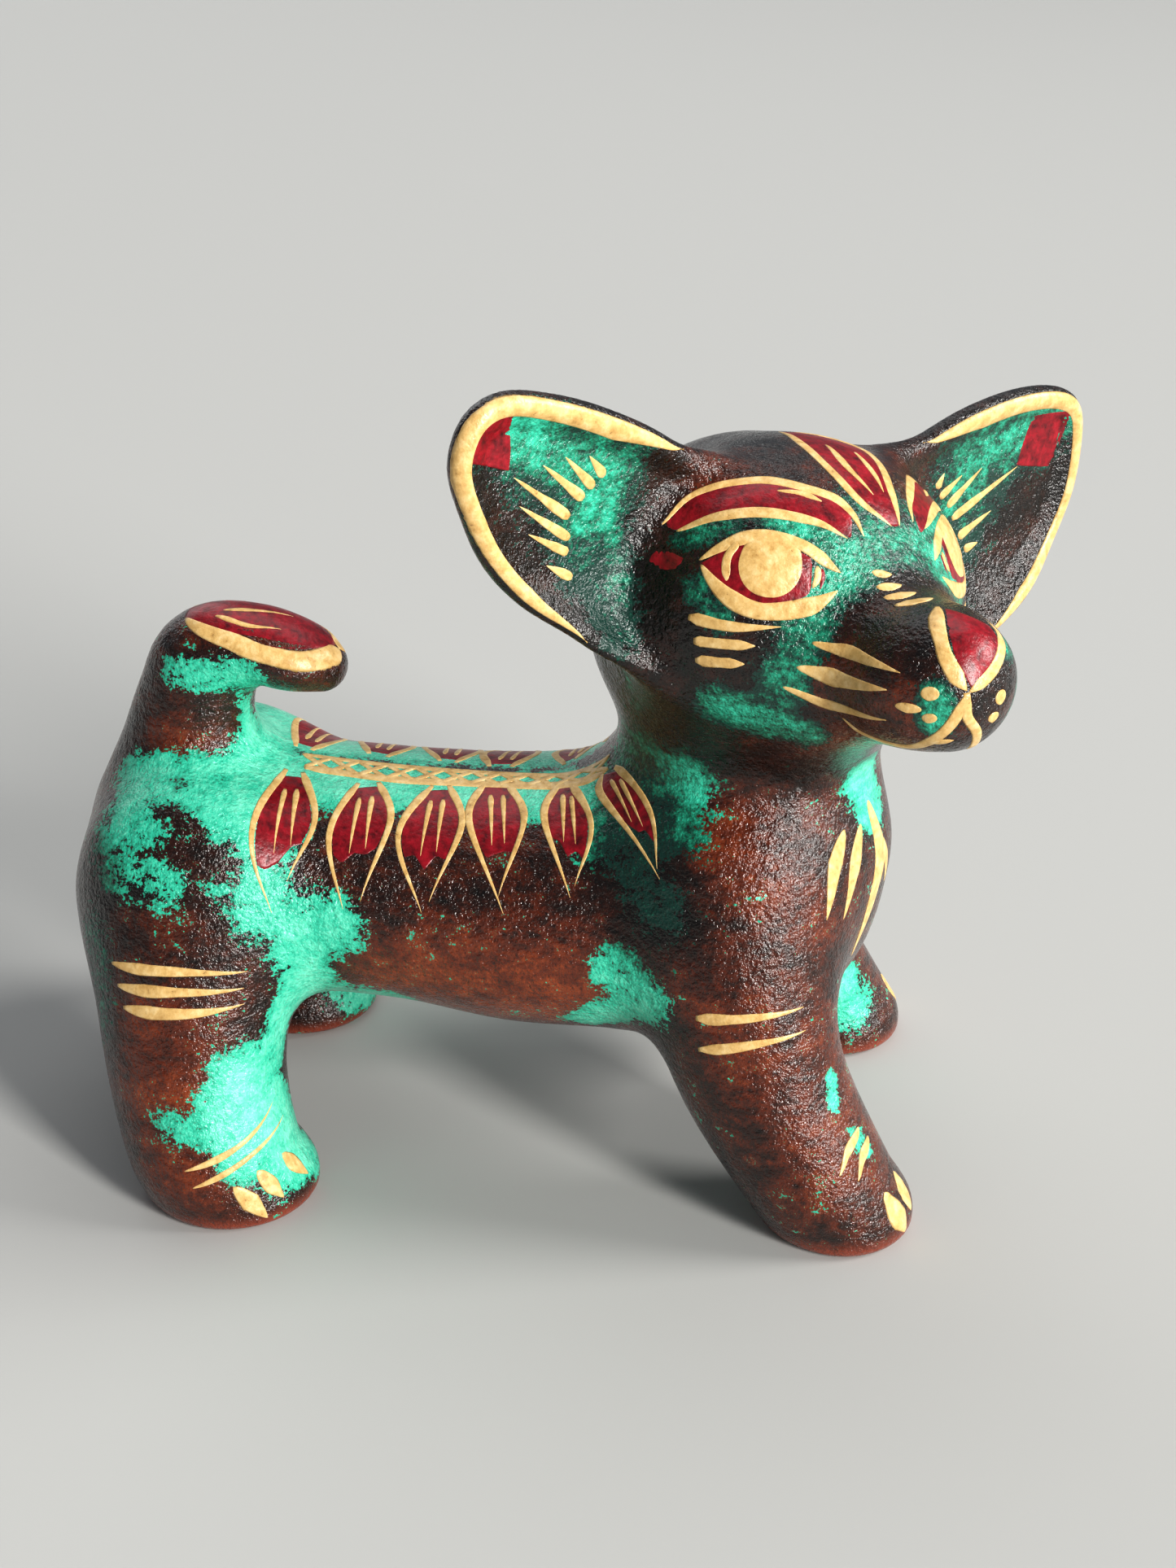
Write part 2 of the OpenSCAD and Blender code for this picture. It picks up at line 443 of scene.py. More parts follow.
def owner(points):
    """The name of the piece that each point of the skin belongs to."""
    f = skin_fields(points)
    left = np.where(points[:, 1] > 0, "left", "right")
    high = points[:, 2] > LEG_TOP
    rear = points[:, 0] < 0
    local = into_head(points)
    ear_side = np.where(local[:, 1] > 0, "ear_left", "ear_right")
    head_part = np.where(np.abs(local[:, 1]) > EAR_ROOT, ear_side, "muzzle")
    names = np.where(f["neck"] < 0, "neck", head_part)
    names = np.where(f["skull"] < 0, np.where(local[:, 0] > 0, "face", "skull_back"), names)
    names = np.where(rear & high, "tail", names)
    legs = np.char.add(np.where(rear, "hind_leg_", "front_leg_"), left)
    names = np.where(~high, legs, names)
    names = np.where(f["barrel"] < 0, np.char.add("body_half_", left), names)
    return np.where(f["vent"] < 0, "vent", names)


def closed_piece(points, normals, triangles, wall):
    """One patch of the skin as a closed solid: a hollow wall, or whole with its cut faces closed."""
    used, faces = np.unique(triangles, return_inverse=True)
    faces = faces.reshape(-1, 3)
    place, lean = points[used], normals[used]
    edges = sides_of(faces).tolist()
    known = set(map(tuple, edges))
    border = [(a, b) for a, b in edges if (b, a) not in known]
    count = len(place)
    if wall:
        inner = faces[:, ::-1] + count
        walls = [[b, a, a + count, b + count] for a, b in border]
        return np.vstack([place, place - lean * wall]), faces.tolist(), inner.tolist(), walls
    then = dict(border)
    middles, caps = [], []
    while then:
        start = next(iter(then))
        loop = [start]
        while loop[-1] in then:
            following = then.pop(loop[-1])
            if following == start:
                break
            loop.append(following)
        centre = count + len(middles)
        middles.append(place[loop].mean(0))
        for a, b in zip(loop, loop[1:] + loop[:1]):
            caps.append([b, a, centre])
    return np.vstack([place, *middles]), faces.tolist(), [], caps


def mesh_object(name, points, faces):
    mesh = bpy.data.meshes.new(name)
    mesh.from_pydata(to_row(points), [], faces)
    mesh.update()
    return add_object(name, mesh)


def show_smooth(thing, smooth_faces, normals, own):
    """Smooth shading with the true lean of the clay on the skin, and flat cut faces."""
    mesh = thing.data
    mesh.polygons.foreach_set("use_smooth", [k < smooth_faces for k in range(len(mesh.polygons))])
    corners = np.zeros(len(mesh.loops), int)
    mesh.loops.foreach_get("vertex_index", corners)
    lean = np.zeros((len(corners), 3))
    lean[:own] = normals[corners[:own]]
    mesh.normals_split_custom_set(lean.tolist())


# ---------------- where the colours of the clay lie

# Dabs of green patina on both flanks, as (from x, y, z, to x, y, z, reach, strength)
BODY_PATINA = [
    (-43, 7, 79, -34, 7, 80, 4, 0.85), (-36, 5, 72, -31, 4, 65, 4, 1.3),
    (-50, 10, 63.5, -36, 9, 66, 5.5, 1.1), (-53, 17, 60, -34, 18, 62, 7, 1.0),
    (-52, 24, 54, -43, 26, 54, 4, 0.75), (-33, 5, 64, -30, 17, 61, 7, 1.35),
    (-33, 25, 55, -28, 24, 52, 5, 0.85), (-28, 6, 63, 20, 7, 61, 5.5, 1.35),
    (-29, 25, 49, -19, 24, 46, 5.5, 0.95), (-24, 24, 44, -24, 20, 33, 5, 1.2),
    (-22, 19, 32, -11, 17, 30, 4, 0.95), (-26, 24, 31, -29, 30, 22, 4, 1.3),
    (-30, 33, 22, -25, 30, 6, 7, 1.5), (-34, 36, 18, -31, 37, 13, 5, 1.4),
    (-43, 38, 18, -38, 38, 17, 3, 0.8), (-56, 21, 52, -54, 30, 30, 3.5, 0.62),
    (24, 10, 71, 33, 19, 70, 6.5, 0.95), (22, 17, 61, 31, 21, 65, 6, 0.9),
    (28, 22, 57, 32, 26, 52, 4.5, 0.68), (59.5, 10, 69, 62, 9, 62, 4.0, 1.2),
    (25, 26, 42, 30, 28, 37, 4.5, 0.95), (29, 27, 37, 20, 21, 30, 3.5, 1.1),
    (57.6, 30.4, 27, 58.2, 32, 24.5, 1.7, 0.95), (62, 32, 18, 63, 32, 16, 2.0, 0.8),
]
# Green on the left side alone: over the front toes, and down the front of the hind leg
LEFT_PATINA = [
    (58, 18, 16, 62, 20, 9, 4.5, 1.2), (-27, 16, 20, -22, 20, 8, 7, 1.3),
]
# Brown left bare among the green
BODY_BARE = [
    (-48, 9, 73.5, -39, 7, 72, 5, 1.1), (-44, 20, 62.5, -39, 22, 60.5, 2.2, 0.6),
    (-41, 24, 59, -34, 25, 56, 2.6, 0.6), (-58, 8, 72, -60, 20, 50, 6, 0.7),
    (-20, 30, 0, -36, 40, 0, 4.5, 1.0),
]
# Painted shade: dabs that darken the green and the brown where the neck and the back of the hips turn
# away from the light
BODY_PAINTED_SHADE = [
    (-56, 21, 52, -54, 30, 30, 6, 0.9), (22, 14, 72, 32, 24, 52, 9, 1.3),
]
# The same lists for the head, in its own frame
HEAD_PATINA = [
    (20, 0, 19, 24, 0, 17, 6, 1.0), (24, 0, 16, 25, 8, 13, 4.5, 1.25),
    (10, 24, 14, 14, 19.6, 16.4, 2.8, 0.9), (17, 15, 18, 22, 10, 17, 3.4, 1.3),
    (26, 8, 12, 25, 13, 9, 3.8, 1.4), (15, 25, 7.5, 18.5, 23.5, 4.5, 2.4, 0.8),
    (26, 14, 8, 25, 16, -5, 4, 1.25), (18, 20, -9.5, 26, 12, -12, 4.2, 1.3),
    (46, 8, 1, 46, 7, -3, 2.6, 1.4), (45.5, 4, 7, 46, 1, 8, 2.2, 1.1),
    (4, 36, 20, 4, 35, 6, 6, 1.35), (4, 35, 8, 4, 32, -8, 5.5, 1.45),
    (2, 30, -10, 0, 23, -20, 6, 1.3), (10, 36, 20, 8, 53, 27, 9, 1.4),
    (12, 36, 10, 10, 43, 14, 7, 1.4),
]
# Dark brown left bare in the dish of each ear
HEAD_SOOT = [
    (9, 48, 12, 9, 54, 20, 6, 0.9), (9, 40, 3, 9, 50, 9, 5.5, 0.85),
]
# Painted shade on the head, in its own frame: dabs that darken the green and the brown round the roots of
# the ears, on the cheek and along the top of the muzzle
HEAD_PAINTED_SHADE = [
    (5, 36, 8, 4, 32, -10, 6.5, 1.7), (8, 46, 20, 5, 35, 8, 7, 1.3), (9, 27, 6, 9, 25, -4, 5, 1.6),
    (9, 25, -6, 5, 22, -14, 6, 1.3), (36, 0, 10, 47, 0, 10, 6, 1.8),
    (20, 20, -4, 26, 14, -6, 5, 1.15),
]
# Where the brown wash is thin and the red clay warms it
BODY_WARM = [
    (-8, 22, 34, 16, 24, 36, 11, 0.9), (42, 28, 40, 58, 30, 14, 10, 0.55),
    (-46, 30, 30, -40, 38, 12, 9, 0.7), (-45, 8, 66, -48, 6, 60, 6, 0.7),
    (40, 20, 62, 50, 20, 50, 9, 0.6),
]
HEAD_WARM = [
    (32, 12, -3, 44, 9, -2, 6, 0.9), (16, 12, -20, 32, 5, -12, 8, 0.9),
    (10, 18, 20, 16, 6, 22, 9, 0.5),
]


def dabs(points, table):
    """How strongly soft dabs of colour cover each point, from 0; both sides alike."""
    folded = np.abs(points * [0, 1, 0]) + points * [1, 0, 1]
    cover = np.zeros(len(points))
    for *ends, reach, strength in table:
        start, along = np.array(ends[:3], float), np.subtract(ends[3:], ends[:3])
        t = np.clip((folded - start) @ along / (along @ along), 0, 1)[:, None]
        gap = norm(folded - start - along * t, axis=1)
        cover = np.maximum(cover, strength * (1 - ease(gap, 0.35 * reach, 1.6 * reach)))
    return cover


def inside_ear(local):
    """How far each point of the head is inside the edge of its ear, in millimetres."""
    inside = np.zeros(len(local))
    for side in (-1, 1):
        here = (local[:, 1] * side > 20) & (local[:, 2] > -22)
        flat = np.stack([local[here, 1] * side, local[here, 2]], 1)
        inside[here] = -inside_outline(flat, EAR_CURVE[side])
    return inside


def colour_masks(points, lean):
    """Where the green, the warm clay, the painted shade and the bare soles lie, as values per point."""
    local = into_head(points)
    ahead = lean @ HEAD_AXES[:, 0]
    aside = np.abs(local[:, 1])
    fore = points[:, 0] > 5
    on_head = ease(points[:, 2], 76, 84) * fore
    patina = dabs(points, BODY_PATINA) * (1 - dabs(points, BODY_BARE))
    patina = np.maximum(patina, dabs(points, LEFT_PATINA) * (points[:, 1] > 0))
    patina = np.maximum(patina, dabs(local, HEAD_PATINA) * on_head)
    # None on the back of the head, on the rims of the ears and on their backs
    patina *= 1 - (1 - ease(local[:, 0], -3, 1.5)) * ease(aside, 18, 23) * on_head
    patina *= 1 - (1 - ease(inside_ear(local), 0.3, 1.4)) * ease(aside, 26, 31) * on_head
    patina *= 1 - (1 - ease(ahead, -0.35, 0.1)) * ease(aside, 26, 31) * on_head
    patina *= 1 - np.minimum(dabs(local, HEAD_SOOT), 1) * on_head
    warm = np.maximum(dabs(points, BODY_WARM), dabs(local, HEAD_WARM) * on_head)
    # Painted shade: the head and the upper neck are darkened as a whole, and the shade dabs darken
    # further
    deep = np.maximum(ease(points[:, 2], 66, 78) * fore, dabs(points, BODY_PAINTED_SHADE))
    deep = np.maximum(deep, dabs(local, HEAD_PAINTED_SHADE) * on_head)
    return {"patina": patina, "warm": warm, "deep": deep, "sole": 1 - ease(points[:, 2], 0.3, 3.6)}


# ---------------- materials

def linear(code):
    """A #rrggbb colour as the linear values that shaders take."""
    parts = [int(code[k:k + 2], 16) / 255 for k in (1, 3, 5)]
    return tuple(c / 12.92 if c < 0.04045 else ((c + 0.055) / 1.055) ** 2.4 for c in parts) + (1,)


class Recipe:
    """A node material in the making."""

    def __init__(self, name):
        self.material = bpy.data.materials.new(name)
        self.material.use_nodes = True
        self.tree = self.material.node_tree
        self.shader = self.tree.nodes["Principled BSDF"]
        self.place = self.add("TexCoord").outputs["Object"]

    def add(self, kind, inputs=None, **settings):
        node = self.tree.nodes.new("ShaderNode" + kind)
        for key, value in settings.items():
            setattr(node, key, value)
        for key, value in (inputs or {}).items():
            self.feed(node.inputs[key], value)
        return node

    def feed(self, socket, value):
        if isinstance(value, bpy.types.NodeSocket):
            self.tree.links.new(value, socket)
        else:
            socket.default_value = value

    def noise(self, size, detail=4.0, rough=0.6, stretch=None, place=None):
        """Noise whose patches are about size millimetres across."""
        place = place or self.place
        if stretch:
            place = self.add("Mapping", {"Vector": place, "Scale": stretch}).outputs[0]
        node = self.add("TexNoise", {"Vector": place, "Scale": 1 / (size * MM),
                                     "Detail": detail, "Roughness": rough})
        return node.outputs["Fac"]

    def math(self, kind, a, b=0.0, c=0.0):
        return self.add("Math", {0: a, 1: b, 2: c}, operation=kind).outputs[0]

    def plus(self, value, other, amount):
        """The value and so many times another."""
        return self.math("MULTIPLY_ADD", other, amount, value)

    def push(self, value, noise, amount):
        """The value, moved up and down by a noise about the noise's middle."""
        return self.plus(value, self.math("SUBTRACT", noise, 0.5), amount)

    def ramp(self, value, stops):
        node = self.add("ValToRGB", {"Fac": value})
        marks = node.color_ramp.elements
        while len(marks) < len(stops):
            marks.new(0.5)
        for mark, (where, colour) in zip(marks, stops):
            mark.position = where
            mark.color = linear(colour) if isinstance(colour, str) else (colour, colour, colour, 1)
        return node.outputs["Color"]

    def mix(self, share, a, b):
        node = self.add("Mix", data_type="RGBA")
        self.feed(node.inputs["Factor"], share)
        for key, colour in (("A", a), ("B", b)):
            self.feed(node.inputs[key], linear(colour) if isinstance(colour, str) else colour)
        return node.outputs["Result"]

    def mask(self, name):
        return self.add("Attribute", attribute_name=name).outputs["Fac"]

    def warp(self, size, amount):
        """The object's coordinates, pushed about by amount millimetres."""
        kind = "VectorMath"
        scale = 1 / (size * MM)
        node = self.add("TexNoise", {"Vector": self.place, "Scale": scale, "Detail": 2.0})
        centred = self.add(kind, {0: node.outputs["Color"], 1: (0.5, 0.5, 0.5)}, operation="SUBTRACT")
        scaled = self.add(kind, {0: centred.outputs[0], "Scale": amount * MM}, operation="SCALE")
        return self.add(kind, {0: self.place, 1: scaled.outputs[0]}, operation="ADD").outputs[0]

    def bump(self, *layers):
        """Layers of (height, depth in millimetres), one over another."""
        normal = None
        for height, depth in layers:
            inputs = {"Height": height, "Distance": depth * MM, "Strength": 1.0}
            if normal is not None:
                inputs["Normal"] = normal
            normal = self.add("Bump", inputs).outputs["Normal"]
        self.feed(self.shader.inputs["Normal"], normal)
        self.feed(self.shader.inputs["Coat Normal"], normal)

    def finish(self, colour, roughness, **constants):
        self.feed(self.shader.inputs["Base Color"], colour)
        self.feed(self.shader.inputs["Roughness"], roughness)
        for key, value in constants.items():
            self.shader.inputs[key.replace("_", " ")].default_value = value
        return self.material


def sandy_bump(r, depth):
    """The fine sand of the fired clay, and the slow hollows that fingers left."""
    sand = r.noise(0.6, 2.0, 0.6)
    grit = r.noise(1.6, 3.0, 0.6)
    hollows = r.noise(9.0, 2.0, 0.5)
    r.bump((hollows, 0.5), (grit, depth * 1.2), (sand, depth))
    return sand, grit


def make_painted_clay():
    """Brown wash over red clay, and green patina over that, under a satin varnish."""
    r = Recipe("painted_clay")
    patina, warm = r.mask("patina"), r.mask("warm")
    deep, sole = r.mask("deep"), r.mask("sole")
    cloud = r.noise(8.0, 5.0, 0.6, place=r.warp(12.0, 5.0))
    brushed = r.noise(2.4, 5.0, 0.68, stretch=(0.75, 0.75, 1.4))
    fine = r.noise(0.75, 3.0, 0.7)
    speck = r.noise(0.42, 2.0, 0.6)
    sand, grit = sandy_bump(r, 0.3)
    tone = r.plus(r.plus(-0.16, cloud, 0.9), warm, 0.34)
    tone = r.push(r.push(tone, brushed, 0.9), fine, 0.35)
    # Painted shade darkens the brown
    tone = r.plus(tone, deep, -0.16)
    brown = r.ramp(tone, [(0.08, "#0c0502"), (0.27, "#2c1006"), (0.48, "#5a220b"), (0.76, "#8a3d16")])
    pits = r.ramp(fine, [(0.32, 1.0), (0.41, 0.0)])
    brown = r.mix(r.math("MULTIPLY", pits, 0.5), brown, "#0c0503")
    brown = r.mix(sole, brown, r.mix(cloud, "#6e2c1a", "#a04a31"))
    # The green was dabbed on nearly dry, so its edge breaks up over the sand
    reach = patina
    for noise, amount in ((cloud, 1.5), (brushed, 1.9), (fine, 1.5), (speck, 1.1)):
        reach = r.push(reach, noise, amount)
    cover = r.ramp(reach, [(0.485, 0.0), (0.515, 1.0)])
    depth = r.push(r.push(0.30, grit, 0.4), reach, 0.34)
    # Painted shade darkens the green too
    depth = r.plus(depth, deep, -0.36)
    green = r.ramp(depth, [(0.02, "#05332a"), (0.17, "#0f7459"), (0.42, "#33c29f"), (0.80, "#80eac8")])
    colour = r.mix(cover, brown, green)
    gloss = r.plus(r.plus(0.05, sand, 0.5), cover, 0.16)
    return r.finish(colour, gloss, Specular_IOR_Level=0.25, Coat_Weight=0.8, Coat_Roughness=0.18)


def make_paint(name, low, middle, high, worn):
    """Body colour laid on by brush: streaky, a little gritty, thin over the high sand."""
    r = Recipe(name)
    streaks = r.noise(1.6, 4.0, 0.6, place=r.warp(4.0, 2.0))
    fine = r.noise(0.6, 3.0, 0.7)
    sandy_bump(r, 0.07)
    colour = r.ramp(r.push(streaks, fine, 0.3), [(0.28, low), (0.5, middle), (0.72, high)])
    thin = r.ramp(r.push(fine, streaks, 0.5), [(0.25, 0.7), (0.31, 0.0)])
    return r.finish(r.mix(thin, colour, worn), r.plus(0.2, fine, 0.25), Specular_IOR_Level=0.5)


def make_raw_clay():
    """Bare fired clay, on the cut faces, inside the hollows and on the seam ropes."""
    r = Recipe("raw_clay")
    cloud = r.noise(4.0, 4.0, 0.6)
    sandy_bump(r, 0.12)
    return r.finish(r.ramp(cloud, [(0.3, "#7c3320"), (0.7, "#b05638")]), r.plus(0.75, cloud, 0.15))


def make_pale_floor():
    return Recipe("pale_floor").finish((0.50, 0.50, 0.485, 1), 0.9, Specular_IOR_Level=0.0)


# ---------------- the clay pieces

SHELLS = ("body_half_left", "body_half_right", "face", "skull_back")


def cut_skin(points, triangles):
    """Cuts the skin along every line where one piece meets another."""
    for name in ("vent", "barrel", "skull", "neck", "side", "front"):
        fields = skin_fields(points)
        high = points[:, 2] > LEG_TOP
        between = (fields["skull"] > -CLOSE) & (fields["barrel"] > -CLOSE) & (points[:, 0] > 0)
        where = {
            "skull": high,
            "neck": high & between,
            "side": fields["barrel"] < CLOSE,
            "front": high & (fields["skull"] < CLOSE),
        }
        values = np.where(where.get(name, True), fields[name], OUTSIDE)
        points, triangles = cut_along(points, triangles, values)
    return points, triangles


def without_islands(names, triangles):
    """Gives any crumb of a piece that is cut off from the rest to the piece round it."""
    sides = np.sort(sides_of(triangles), 1)
    face = np.tile(np.arange(len(triangles)), 3)
    order = np.lexsort((sides[:, 1], sides[:, 0]))
    sides, face = sides[order], face[order]
    same = np.all(sides[1:] == sides[:-1], axis=1)
    pairs = np.stack([face[:-1][same], face[1:][same]], 1)
    joined = pairs[names[pairs[:, 0]] == names[pairs[:, 1]]]
    island = np.arange(len(triangles))
    while True:
        low = np.minimum(island[joined[:, 0]], island[joined[:, 1]])
        fresh = island.copy()
        np.minimum.at(fresh, joined[:, 0], low)
        np.minimum.at(fresh, joined[:, 1], low)
        fresh = fresh[fresh]
        if np.array_equal(fresh, island):
            break
        island = fresh
    size = np.bincount(island, minlength=len(triangles))
    for _ in range(6):
        for a, b in ((0, 1), (1, 0)):
            small = size[island[pairs[:, a]]] < size[island[pairs[:, b]]]
            crumb = small & (size[island[pairs[:, a]]] < CRUMB)
            names[pairs[crumb, a]] = names[pairs[crumb, b]]
            island[pairs[crumb, a]] = island[pairs[crumb, b]]
    return names


def paint_masks(thing, masks, own):
    """Stores the colour masks on the piece's own skin; the cut faces stay bare."""
    for key, values in masks.items():
        layer = thing.data.attributes.new(key, "FLOAT", "POINT")
        stored = np.zeros(len(thing.data.vertices), np.float32)
        stored[:len(own)] = values[own]
        layer.data.foreach_set("value", stored)


def make_clay_pieces(clay_material, raw_material):
    """Makes the thirteen outer pieces, and hands back the skin for the brush to land on."""
    points, quads = skin_surface()
    triangles = np.vstack([quads[:, [0, 1, 2]], quads[:, [0, 2, 3]]]).astype(int)
    points, triangles = cut_skin(points, triangles)
    lean = clay_normals(points)[1]
    masks = colour_masks(points, lean)
    names = without_islands(owner(points[triangles].mean(1)), triangles)
    for name in sorted(set(names.tolist()) - {"vent"}):
        patch = triangles[names == name]
        own = np.unique(patch)
        wall = CLAY_WALL if name in SHELLS else 0
        places, skin, inner, cuts = closed_piece(points, lean, patch, wall)
        piece = mesh_object(name + "_clay", places, skin + inner + cuts)
        piece.data.materials.append(clay_material)
        piece.data.materials.append(raw_material)
        hidden = [0] * len(skin) + [1] * (len(inner) + len(cuts))
        piece.data.polygons.foreach_set("material_index", hidden)
        paint_masks(piece, masks, own)
        show_smooth(piece, len(skin) + len(inner), lean[own], 3 * len(skin))
        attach(piece, "root")
        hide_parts(name)
    return BVHTree.FromPolygons(points.tolist(), triangles.tolist())


# ---------------- the painter's brush

class Chart:
    """Where on the skin a brush goes: two numbers, moved by so much, give a ray from outside."""

    def __init__(self, ray, side=-1, by=(0, 0)):
        self.ray = ray
        self.side = side
        self.by = by

    def land(self, spots):
        """Points on the skin, with the way out from it, for rows of two numbers."""
        hits, outs = [], []
        for u, v in spots:
            start, way, centre = self.ray(u + self.by[0], v + self.by[1], self.side)
            place, normal, _, _ = SKIN.ray_cast(Vector(start), Vector(way))
            if place is None:
                place, normal, _, _ = SKIN.find_nearest(Vector(centre))
            hits.append(place)
            outs.append(normal if normal.dot(Vector(way)) < 0 else -normal)
        return np.array(hits), np.array(outs)


def toward(centre, aim, local=False, reach=60):
    """A ray that comes in from reach millimetres outside to the centre, and that centre."""
    centre, aim = np.array(centre, float), np.array(aim, float)
    aim /= norm(aim)
    if local:
        return out_of_head(centre + aim * reach), -(HEAD_AXES @ aim), out_of_head(centre)
    return centre + aim * reach, -aim, centre


def around(x, y, z, **how):
    """Rays from all sides to a centre: turn degrees from +X to the side's own Y, and rise up."""
    def ray(turn, rise, side):
        a, e = math.radians(turn), math.radians(rise)
        aim = (math.cos(e) * math.cos(a), side * math.cos(e) * math.sin(a), math.sin(e))
        return toward((x, side * y, z), aim, **how)
    return ray


head_ray = around(0, 0, 0, local=True)
muzzle_ray = around(22, 0, -3, local=True)
tail_ray = around(-33, 0, 80, reach=22)
hind_foot_ray = around(-38, 26, 6)
front_foot_ray = around(58, 27.5, 5)


def flank_ray(x, turn, side):
    """Round the barrel, degrees down from the top of the back."""
    a = math.radians(turn)
    return toward((x, 0, 43), (0, side * math.sin(a), math.cos(a)), reach=30)


def crown_ray(across, up, side):
    """Across and up the slope between the ears that faces up and ahead."""
    half = math.sqrt(0.5)
    return toward((-half * up, side * across, half * up), (1, 0, 1), local=True)


def ear_ray(across, up, side):
    return toward((0, side * across, up), (1, 0, 0), local=True)


def leg_ray(x, z, side):
    return toward((x, 0, z), (0, side, 0))


def chest_ray(across, z, side):
    return toward((40, side * across, z), (1, 0, 0))


def tail_top_ray(x, across, side):
    return toward((x, side * across, 76), (0, 0, 1))


# How finely paint is laid: millimetres along a stroke, and points across it and across a fill
PAINT_STEP = 0.45
STROKE_ACROSS = 7
FILL_ACROSS = 15
FILL_ALONG = 1.0
# A stroke's edges dip under the skin, so it is laid a little wider than it shows
FULL_WIDTH = 1.25
# A narrower stroke than this, in millimetres, carries less paint
FULL_LOAD = 0.9
# How thick the paint lies, as a share of the thickness each motif asks for
COAT = 0.7
# How far a coat reaches under the skin, at its middle and at its long edges
SINK = 0.12
TUCK = 0.03
HAND = np.random.default_rng(7)
COATS = {}
CREAM = "cream_paint"
RED = "red_paint"


def lay_coat(piece, slot, grid, lift):
    """Keeps a grid of points on the skin, which becomes a thin body of paint."""
    COATS.setdefault((piece, slot), []).append((grid, lift))


def resample(line, count):
    """The same line with points evenly spaced along its first three numbers."""
    gaps = norm(np.diff(line[:, :3], axis=0), axis=1)
    along = np.concatenate([[0], np.cumsum(gaps)])
    want = np.linspace(0, along[-1], count)
    return np.stack([np.interp(want, along, line[:, k]) for k in range(line.shape[1])], 1)


def smooth(line):
    """A line of many points through the few that are given."""
    line = np.array(line, float)
    return spline(line, 8) if len(line) > 2 else resample(line, 9)


def belly(t, head, tail):
    """How full a stroke is along its length: quick to fill from the start, slow to run out."""
    blunt = min(0.6, max(0.08, 0.75 - 2 * head))
    start = np.maximum(np.minimum(1, t / head) ** 0.5, blunt)
    end = np.minimum(1, (1 - t) / tail) ** 0.75
    return np.maximum(start * end, 0.06)


def stroke(piece, slot, chart, line, width, head=0.12, tail=0.5, lift=0.16):
    """One brush stroke of that width in millimetres along a smooth line through the spots."""
    places, outs = chart.land(smooth(line))
    length = norm(np.diff(places, axis=0), axis=1).sum()
    joined = resample(np.hstack([places, outs]), max(6, int(length / PAINT_STEP)))
    places, outs = joined[:, :3], joined[:, 3:]
    t = np.linspace(0, 1, len(places))
    across = np.cross(outs, np.gradient(places, axis=0))
    across /= norm(across, axis=1)[:, None] + 1e-9
    wave = np.interp(t, np.linspace(0, 1, 7), HAND.uniform(0.88, 1.12, 7))
    half = 0.5 * FULL_WIDTH * width * belly(t, head, tail) * wave
    share = np.linspace(-1, 1, STROKE_ACROSS)
    grid = places[:, None] + across[:, None] * (half[:, None] * share)[:, :, None]
    full = np.minimum(1, half * 2 / FULL_LOAD)
    lay_coat(piece, slot, grid, COAT * lift * (0.4 + 0.6 * full))


def strokes(piece, chart, *rows, lift=0.16):
    """Cream strokes, each given as (line, width, head, tail)."""
    for line, width, head, tail in rows:
        stroke(piece, CREAM, chart, line, width, head, tail, lift)


def fill(piece, slot, chart, one, other, lift=0.10, ragged=0.0, count=40):
    """Paint laid between two smooth lines, which may meet at their ends."""
    count = int(FILL_ALONG * count)
    one, other = resample(smooth(one), count), resample(smooth(other), count)
    share = np.linspace(0, 1, FILL_ACROSS)[None, :, None]
    spots = one[:, None] * (1 - share) + other[:, None] * share
    if ragged:
        drawn = HAND.uniform(-ragged, ragged, 5)
        push = np.interp(share, np.linspace(0, 1, 5), drawn)
        middle = (one + other) / 2
        way = middle[-1] - middle[-2]
        way /= norm(way) + 1e-9
        late = np.linspace(0, 1, count)[:, None, None] ** 6
        spots = spots + late * push * way
    places, _ = chart.land(spots.reshape(-1, 2))
    lay_coat(piece, slot, places.reshape(count, FILL_ACROSS, 3), np.full(count, COAT * lift))


def spot(piece, slot, chart, at, size, lift=0.16):
    """A round or oval dab, size in the chart's own units."""
    turn = np.linspace(0, math.pi, 13)
    wide, high = size[0] * np.sin(turn), size[1] * np.cos(turn)
    one, other = [np.stack([at[0] + way * wide, at[1] + high], 1) for way in (-1, 1)]
    fill(piece, slot, chart, one, other, lift)


def build_coats(materials):
    """Turns every grid that was laid into thin closed bodies of paint that swell from the skin."""
    flat = np.vstack([grid.reshape(-1, 3) for coats in COATS.values() for grid, _ in coats])
    for _ in range(2):
        away, lean = clay_normals(flat)
        flat = flat - lean * np.clip(away, -1.5, 1.5)[:, None]
    lean = clay_normals(flat)[1]
    start = 0
    for (piece, slot), coats in COATS.items():
        points, faces = [], []
        base = 0
        for grid, lift in coats:
            rows, cols = grid.shape[:2]
            here = slice(start, start + rows * cols)
            start += rows * cols
            skin = flat[here].reshape(rows, cols, 3)
            out = lean[here].reshape(rows, cols, 3)
            hump = (1 - np.linspace(-1, 1, cols) ** 4)[None, :]
            ends = np.ones(rows)
            ends[[0, -1]] = 0.35
            top = skin + out * ((lift * ends)[:, None] * hump - TUCK)[:, :, None]
            under = skin - out * (SINK * hump + TUCK)[:, :, None]
            points += [top.reshape(-1, 3), under[:, 1:-1].reshape(-1, 3)]
            upper = base + np.arange(rows * cols).reshape(rows, cols)
            lower = upper.copy()
            base += rows * cols
            lower[:, 1:-1] = base + np.arange(rows * (cols - 2)).reshape(rows, cols - 2)
            base += rows * (cols - 2)
            faces += grid_faces(upper, lower)
        thing = mesh_object(piece, np.vstack(points), faces)
        clean_mesh(thing)
        thing.data.materials.append(materials[slot])
        thing.data.polygons.foreach_set("use_smooth", [True] * len(thing.data.polygons))
        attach(thing, "root")


